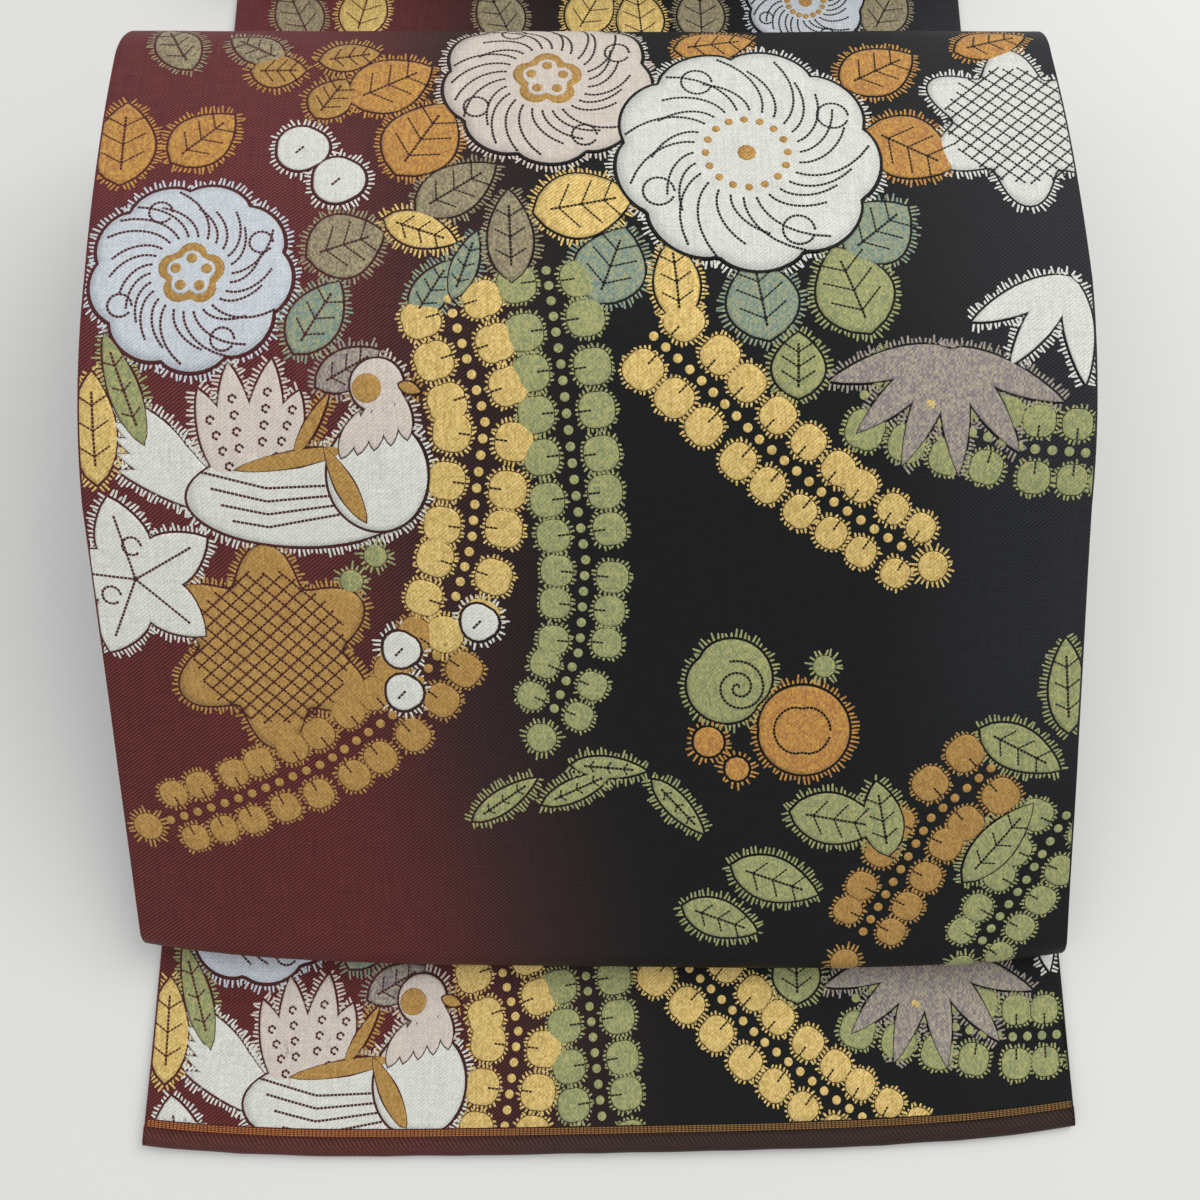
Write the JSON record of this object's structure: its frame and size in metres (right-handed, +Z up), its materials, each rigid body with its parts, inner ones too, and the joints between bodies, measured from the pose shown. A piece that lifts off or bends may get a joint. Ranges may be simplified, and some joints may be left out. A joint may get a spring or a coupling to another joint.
{
  "type": "fukuro obi sash laid out in drum form",
  "caption": "Double-woven figured sash for a kimono, laid on a surface with a tail flap, a raised drum fold and the rest folded in a stack.",
  "frame": {"origin": "on the surface that the sash lies on, under the middle of its bounding box", "axes": "+X across the cloth to the right of someone facing the drum from the tail flap, +Y along the cloth from the tail flap to the stack, +Z up"},
  "size_m": [0.3188, 0.8028, 0.1036],
  "materials": {
    "brocade": "figured silk twill brocade with metallic threads",
    "plain_band": "plain silk twill",
    "backing": "matt plain weave"
  },
  "bodies": {
    "root": {"hem_flap": "plain_band", "face_flap": "brocade", "back_flap": "backing", "face_tuck": "brocade", "back_tuck": "backing", "face_drum": "brocade", "back_drum": "backing", "face_rear": "brocade", "back_rear": "backing", "face_run": "brocade", "back_run": "backing", "folded_rest": "brocade", "face_hand": "brocade", "back_hand": "backing", "hem_hand": "plain_band"}
  },
  "joints": []
}
